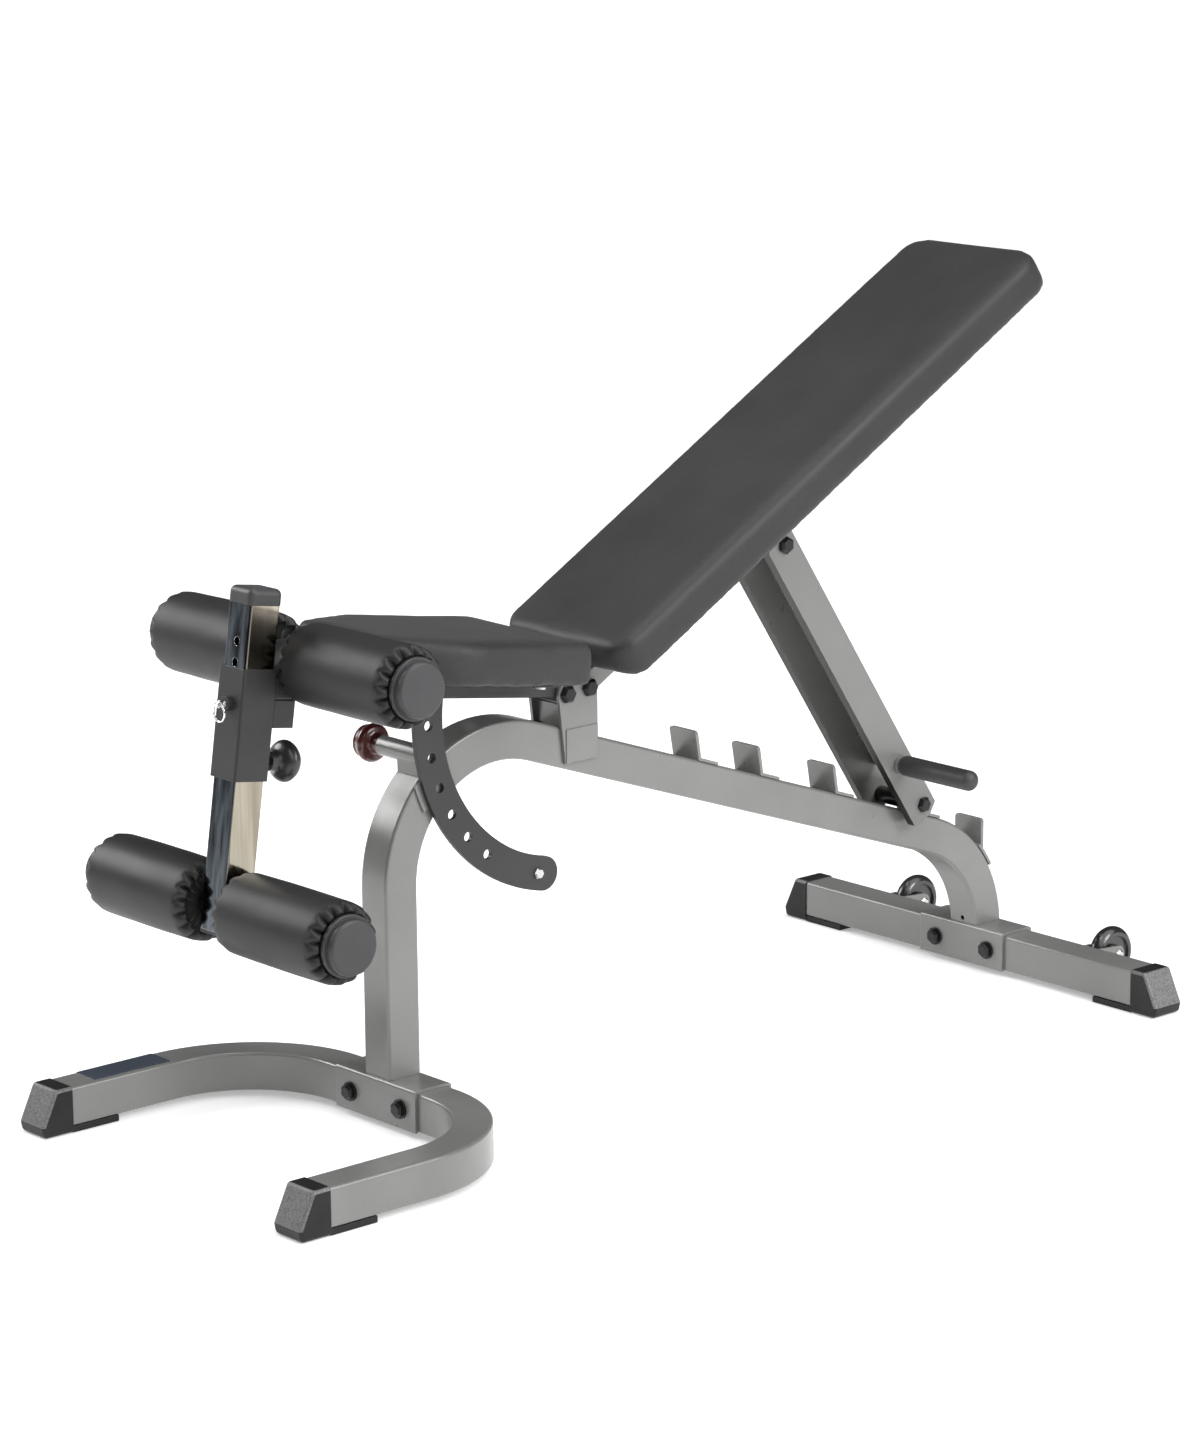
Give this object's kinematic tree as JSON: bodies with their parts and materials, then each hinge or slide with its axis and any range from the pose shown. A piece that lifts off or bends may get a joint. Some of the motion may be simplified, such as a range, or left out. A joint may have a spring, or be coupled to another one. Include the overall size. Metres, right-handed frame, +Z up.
{
  "type": "adjustable sit up bench",
  "caption": "Adjustable padded bench on a bent tube frame, with a leg hold-down of foam rollers, a seat lock arc and a catch strut behind the back pad.",
  "frame": {"origin": "on the floor, under the centre of the bounding box", "axes": "+X runs from the leg rollers to the transport wheels, +Z is up, and -Y is the side with the strut's handle and the arc plate"},
  "size_m": [1.537, 0.7266, 1.0204],
  "materials": {
    "frame_paint": "satin silver grey paint",
    "dark_plate": "satin charcoal paint",
    "chrome": "bright chrome plate",
    "black_bolt": "black oxide fasteners",
    "upholstery": "charcoal fine-grained vinyl",
    "roller_vinyl": "smooth black vinyl",
    "roller_disc": "satin black moulded plastic",
    "board": "plywood under a black backing cloth",
    "boot_rubber": "black rubber",
    "grip_rubber": "black rubber sleeve",
    "knob_plastic": "dark red-brown glossy plastic",
    "black_knob": "black plastic",
    "wheel_plastic": "black moulded wheel",
    "zinc": "zinc-plated steel",
    "label": "blank slate plate"
  },
  "bodies": {
    "base": {"main_tube": "frame_paint", "front_base_tube": "frame_paint", "rear_base_tube": "frame_paint", "saddles": "frame_paint", "saddle_washers": "black_bolt", "saddle_bolts": "black_bolt", "front_boots": "boot_rubber", "rear_boots": "boot_rubber", "label_plate": "label", "hinge_bracket": "frame_paint", "pivot_bolts": "black_bolt", "catches": "frame_paint", "last_catch": "frame_paint", "pin_barrel": "frame_paint", "pull_spring": "zinc", "guide_pad": "frame_paint", "wheel_forks": "frame_paint", "wheel_axles": "zinc"},
    "wheel_left": {"wheel_left": "wheel_plastic"},
    "wheel_right": {"wheel_right": "wheel_plastic"},
    "seat": {"seat_frame": "dark_plate", "seat_wings": "dark_plate", "seat_screws": "zinc", "seat_board": "board", "seat_pad": "upholstery", "leg_sleeve": "dark_plate", "sleeve_bracket": "dark_plate", "sleeve_bosses": "dark_plate", "upper_roller_bar": "chrome", "upper_end_discs": "roller_disc", "arc_plate": "dark_plate", "stop_bolt": "zinc"},
    "seat_pin": {"pull_pin": "chrome", "pull_knob": "knob_plastic"},
    "back": {"back_frame": "frame_paint", "back_wings": "frame_paint", "back_screws": "zinc", "back_board": "board", "back_pad": "upholstery", "strut_ears": "frame_paint", "strut_pivot_bolt": "black_bolt"},
    "strut": {"strut_plates": "frame_paint", "strut_web": "frame_paint", "foot_sleeve": "black_bolt", "foot_bolt": "black_bolt", "strut_handle": "frame_paint", "handle_grip": "grip_rubber"},
    "leg_post": {"leg_post": "chrome", "leg_post_caps": "roller_disc", "lower_roller_bar": "chrome", "lower_end_discs": "roller_disc"},
    "upper_roller_left": {"upper_roller_left": "roller_vinyl"},
    "upper_roller_right": {"upper_roller_right": "roller_vinyl"},
    "lower_roller_left": {"lower_roller_left": "roller_vinyl"},
    "lower_roller_right": {"lower_roller_right": "roller_vinyl"},
    "ring_pin": {"ring_pin": "chrome"},
    "pin_ring": {"pin_ring": "chrome"},
    "jam_knob": {"jam_knob": "black_knob"}
  },
  "joints": [
    {"name": "back_raise", "type": "hinge", "parent": "base", "child": "back", "pos_m": [-0.0886, 0, 0.5186], "axis": [0, -1, 0], "range_deg": [0, 40]},
    {"name": "strut_fold", "type": "hinge", "parent": "back", "child": "strut", "pos_m": [0.24019, 0, 0.66212], "axis": [0, -1, 0], "range_deg": [-52, 0]},
    {"name": "seat_tilt", "type": "hinge", "parent": "base", "child": "seat", "pos_m": [-0.1259, 0, 0.5153], "axis": [0, -1, 0], "range_deg": [-20.8, 10.4]},
    {"name": "seat_pin_pull", "type": "slide", "parent": "base", "child": "seat_pin", "axis": [0, 1, 0], "range_m": [0, 0.012], "stiffness_N_per_m": 1500, "springref_m": -0.006, "deforming": ["pull_spring"]},
    {"name": "leg_post_slide", "type": "slide", "parent": "seat", "child": "leg_post", "axis": [0.1478, 0, 0.989], "range_m": [-0.0762, 0.0762]},
    {"name": "ring_pin_pull", "type": "slide", "parent": "seat", "child": "ring_pin", "axis": [-0.989, 0, 0.1478], "range_m": [0, 0.008], "stiffness_N_per_m": 400, "springref_m": -0.004},
    {"name": "ring_swing", "type": "hinge", "parent": "ring_pin", "child": "pin_ring", "pos_m": [-0.65158, 0, 0.58021], "axis": [0, 1, 0], "range_deg": [0, 90]},
    {"name": "jam_knob_turn", "type": "hinge", "parent": "seat", "child": "jam_knob", "pos_m": [-0.57357, 0, 0.49667], "axis": [0.989, 0, -0.1478], "continuous": true},
    {"name": "upper_roller_left_spin", "type": "hinge", "parent": "seat", "child": "upper_roller_left", "pos_m": [-0.5385, -0.1315, 0.61903], "axis": [0, -1, 0], "continuous": true},
    {"name": "upper_roller_right_spin", "type": "hinge", "parent": "seat", "child": "upper_roller_right", "pos_m": [-0.5385, 0.1315, 0.61903], "axis": [0, -1, 0], "continuous": true},
    {"name": "lower_roller_left_spin", "type": "hinge", "parent": "leg_post", "child": "lower_roller_left", "pos_m": [-0.64856, -0.1315, 0.32709], "axis": [0, -1, 0], "continuous": true},
    {"name": "lower_roller_right_spin", "type": "hinge", "parent": "leg_post", "child": "lower_roller_right", "pos_m": [-0.64856, 0.1315, 0.32709], "axis": [0, -1, 0], "continuous": true},
    {"name": "wheel_left_spin", "type": "hinge", "parent": "base", "child": "wheel_left", "pos_m": [0.7305, -0.19, 0.0386], "axis": [0, -1, 0], "continuous": true},
    {"name": "wheel_right_spin", "type": "hinge", "parent": "base", "child": "wheel_right", "pos_m": [0.7305, 0.19, 0.0386], "axis": [0, -1, 0], "continuous": true}
  ],
  "couplings": [
    {"joint": "strut_fold", "follows": "back_raise", "ratio": -1.3}
  ]
}
